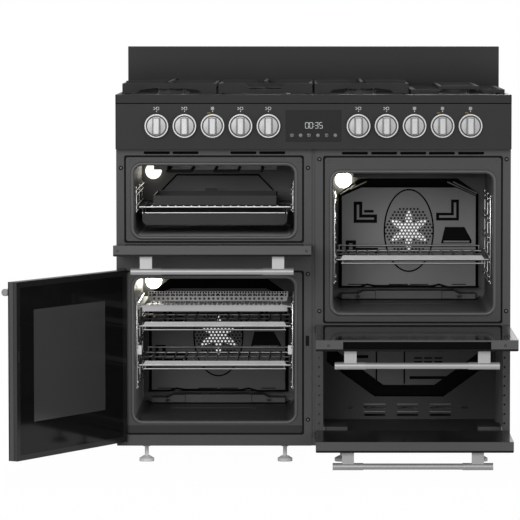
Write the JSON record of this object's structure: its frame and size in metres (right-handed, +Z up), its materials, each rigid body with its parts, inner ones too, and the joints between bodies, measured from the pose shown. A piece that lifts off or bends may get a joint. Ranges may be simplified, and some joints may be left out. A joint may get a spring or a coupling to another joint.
{
  "type": "range cooker",
  "caption": "Freestanding range cooker: grill oven over a tall fan oven, main oven over a storage compartment, doors standing open, gas hob with cast supports and a row of knobs.",
  "frame": {"origin": "on the floor, below the middle of the front frames' face, between the two oven columns", "axes": "+Z up, +X to the right for a viewer in front, so the cooker faces -Y and its back is towards +Y"},
  "size_m": [1.2617, 1.082, 1.0555],
  "materials": {
    "cabinet_paint": "semi-gloss charcoal paint",
    "oven_enamel": "glossy dark vitreous enamel",
    "bare_steel": "zinc-plated sheet",
    "bright_wire": "bright plated wire",
    "satin_metal": "satin metal",
    "cast_iron": "matt black",
    "dark_glass": "dark reflective glass",
    "rubber": "matt",
    "lamp_glass": "clear, lit from inside",
    "brass": "machined",
    "motor_grey": "grey paint",
    "element_steel": "heat-darkened steel",
    "burner_alloy": "dull cast alloy"
  },
  "bodies": {
    "cabinet": {"base_frame": "cabinet_paint", "side_panels": "cabinet_paint", "rear_panel": "bare_steel", "front_frames": "cabinet_paint", "hob_top": "cabinet_paint", "splashback": "cabinet_paint", "control_panel": "cabinet_paint", "clock_display": "dark_glass", "levelling_feet": "rubber", "grill_oven_liner": "oven_enamel", "fan_oven_liner": "oven_enamel", "main_oven_liner": "oven_enamel", "storage_liner": "oven_enamel", "seals_and_stops": "rubber", "fan_covers": "oven_enamel", "shelf_ladders": "bright_wire", "oven_lamps": "lamp_glass", "heating_elements": "element_steel", "fan_motors": "motor_grey", "gas_manifold": "brass", "burners": "burner_alloy", "hinge_brackets": "bare_steel"},
    "fan_oven_fan": {"fan_oven_fan": "element_steel"},
    "main_oven_fan": {"main_oven_fan": "element_steel"},
    "pan_support_1": {"pan_support_1": "cast_iron"},
    "pan_support_2": {"pan_support_2": "cast_iron"},
    "pan_support_3": {"pan_support_3": "cast_iron"},
    "pan_support_4": {"pan_support_4": "cast_iron"},
    "tap_spindle_1": {"tap_spindle_1": "brass"},
    "tap_spindle_2": {"tap_spindle_2": "brass"},
    "tap_spindle_4": {"tap_spindle_4": "brass"},
    "tap_spindle_5": {"tap_spindle_5": "brass"},
    "tap_spindle_6": {"tap_spindle_6": "brass"},
    "tap_spindle_7": {"tap_spindle_7": "brass"},
    "knob_1": {"knob_1": "satin_metal"},
    "knob_2": {"knob_2": "satin_metal"},
    "knob_3": {"knob_3": "satin_metal"},
    "knob_4": {"knob_4": "satin_metal"},
    "knob_5": {"knob_5": "satin_metal"},
    "knob_6": {"knob_6": "satin_metal"},
    "knob_7": {"knob_7": "satin_metal"},
    "knob_8": {"knob_8": "satin_metal"},
    "knob_9": {"knob_9": "satin_metal"},
    "knob_10": {"knob_10": "satin_metal"},
    "grill_pan": {"grill_pan": "oven_enamel"},
    "mesh_basket": {"mesh_basket": "bright_wire"},
    "upper_shelf": {"upper_shelf": "bright_wire"},
    "lower_shelf": {"lower_shelf": "bright_wire"},
    "main_shelf": {"main_shelf": "bright_wire"},
    "grill_door": {"grill_door": "cabinet_paint", "grill_door_glass": "dark_glass", "grill_door_handle": "satin_metal"},
    "fan_door": {"fan_door": "cabinet_paint", "fan_door_glass": "dark_glass", "fan_door_handle": "satin_metal"},
    "main_door": {"main_door": "cabinet_paint", "main_door_glass": "dark_glass", "main_door_handle": "satin_metal"},
    "storage_flap": {"storage_flap": "cabinet_paint", "storage_handle": "satin_metal"}
  },
  "joints": [
    {"name": "grill_door_hinge", "type": "hinge", "parent": "cabinet", "child": "grill_door", "pos_m": [0, -0.0175, 0.5485], "axis": [-1, 0, 0], "range_deg": [0, 87.5]},
    {"name": "fan_door_hinge", "type": "hinge", "parent": "cabinet", "child": "fan_door", "pos_m": [-0.489, -0.0175, 0.27], "axis": [0, 0, 1], "range_deg": [0, 120]},
    {"name": "main_door_hinge", "type": "hinge", "parent": "cabinet", "child": "main_door", "pos_m": [0.25, -0.0175, 0.3425], "axis": [-1, 0, 0], "range_deg": [0, 90]},
    {"name": "storage_flap_hinge", "type": "hinge", "parent": "cabinet", "child": "storage_flap", "pos_m": [0.25, -0.0175, 0.0725], "axis": [-1, 0, 0], "range_deg": [0, 90]},
    {"name": "tap_push_1", "type": "slide", "parent": "cabinet", "child": "tap_spindle_1", "axis": [0, 1, 0], "range_m": [0, 0.004], "stiffness_N_per_m": 400, "springref_m": -0.002},
    {"name": "knob_1_turn", "type": "hinge", "parent": "tap_spindle_1", "child": "knob_1", "pos_m": [-0.3959, -0.04, 0.861], "axis": [0, -1, 0], "range_deg": [0, 210]},
    {"name": "tap_push_2", "type": "slide", "parent": "cabinet", "child": "tap_spindle_2", "axis": [0, 1, 0], "range_m": [0, 0.004], "stiffness_N_per_m": 400, "springref_m": -0.002},
    {"name": "knob_2_turn", "type": "hinge", "parent": "tap_spindle_2", "child": "knob_2", "pos_m": [-0.3253, -0.04, 0.861], "axis": [0, -1, 0], "range_deg": [0, 210]},
    {"name": "tap_push_4", "type": "slide", "parent": "cabinet", "child": "tap_spindle_4", "axis": [0, 1, 0], "range_m": [0, 0.004], "stiffness_N_per_m": 400, "springref_m": -0.002},
    {"name": "knob_4_turn", "type": "hinge", "parent": "tap_spindle_4", "child": "knob_4", "pos_m": [-0.1841, -0.04, 0.861], "axis": [0, -1, 0], "range_deg": [0, 210]},
    {"name": "tap_push_5", "type": "slide", "parent": "cabinet", "child": "tap_spindle_5", "axis": [0, 1, 0], "range_m": [0, 0.004], "stiffness_N_per_m": 400, "springref_m": -0.002},
    {"name": "knob_5_turn", "type": "hinge", "parent": "tap_spindle_5", "child": "knob_5", "pos_m": [-0.1135, -0.04, 0.861], "axis": [0, -1, 0], "range_deg": [0, 210]},
    {"name": "tap_push_6", "type": "slide", "parent": "cabinet", "child": "tap_spindle_6", "axis": [0, 1, 0], "range_m": [0, 0.004], "stiffness_N_per_m": 400, "springref_m": -0.002},
    {"name": "knob_6_turn", "type": "hinge", "parent": "tap_spindle_6", "child": "knob_6", "pos_m": [0.1135, -0.04, 0.861], "axis": [0, -1, 0], "range_deg": [0, 210]},
    {"name": "tap_push_7", "type": "slide", "parent": "cabinet", "child": "tap_spindle_7", "axis": [0, 1, 0], "range_m": [0, 0.004], "stiffness_N_per_m": 400, "springref_m": -0.002},
    {"name": "knob_7_turn", "type": "hinge", "parent": "tap_spindle_7", "child": "knob_7", "pos_m": [0.1841, -0.04, 0.861], "axis": [0, -1, 0], "range_deg": [0, 210]},
    {"name": "knob_3_turn", "type": "hinge", "parent": "cabinet", "child": "knob_3", "pos_m": [-0.2547, -0.04, 0.861], "axis": [0, 1, 0], "range_deg": [0, 270]},
    {"name": "knob_8_turn", "type": "hinge", "parent": "cabinet", "child": "knob_8", "pos_m": [0.2547, -0.04, 0.861], "axis": [0, 1, 0], "range_deg": [0, 270]},
    {"name": "knob_9_turn", "type": "hinge", "parent": "cabinet", "child": "knob_9", "pos_m": [0.3253, -0.04, 0.861], "axis": [0, 1, 0], "range_deg": [0, 270]},
    {"name": "knob_10_turn", "type": "hinge", "parent": "cabinet", "child": "knob_10", "pos_m": [0.3959, -0.04, 0.861], "axis": [0, 1, 0], "range_deg": [0, 270]},
    {"name": "grill_pan_slide", "type": "slide", "parent": "cabinet", "child": "grill_pan", "axis": [0, 1, 0], "range_m": [-0.3, 0]},
    {"name": "mesh_basket_slide", "type": "slide", "parent": "cabinet", "child": "mesh_basket", "axis": [0, 1, 0], "range_m": [-0.3, 0]},
    {"name": "upper_shelf_slide", "type": "slide", "parent": "cabinet", "child": "upper_shelf", "axis": [0, 1, 0], "range_m": [-0.3, 0]},
    {"name": "lower_shelf_slide", "type": "slide", "parent": "cabinet", "child": "lower_shelf", "axis": [0, 1, 0], "range_m": [-0.3, 0]},
    {"name": "main_shelf_slide", "type": "slide", "parent": "cabinet", "child": "main_shelf", "axis": [0, 1, 0], "range_m": [-0.3, 0]},
    {"name": "fan_oven_fan_spin", "type": "hinge", "parent": "cabinet", "child": "fan_oven_fan", "pos_m": [-0.252, 0.44, 0.2935], "axis": [0, 1, 0], "continuous": true},
    {"name": "main_oven_fan_spin", "type": "hinge", "parent": "cabinet", "child": "main_oven_fan", "pos_m": [0.252, 0.44, 0.571], "axis": [0, 1, 0], "continuous": true},
    {"name": "pan_support_1_lift", "type": "slide", "parent": "cabinet", "child": "pan_support_1", "axis": [0, 0, 1], "range_m": [0, 0.04]},
    {"name": "pan_support_2_lift", "type": "slide", "parent": "cabinet", "child": "pan_support_2", "axis": [0, 0, 1], "range_m": [0, 0.04]},
    {"name": "pan_support_3_lift", "type": "slide", "parent": "cabinet", "child": "pan_support_3", "axis": [0, 0, 1], "range_m": [0, 0.04]},
    {"name": "pan_support_4_lift", "type": "slide", "parent": "cabinet", "child": "pan_support_4", "axis": [0, 0, 1], "range_m": [0, 0.04]}
  ]
}
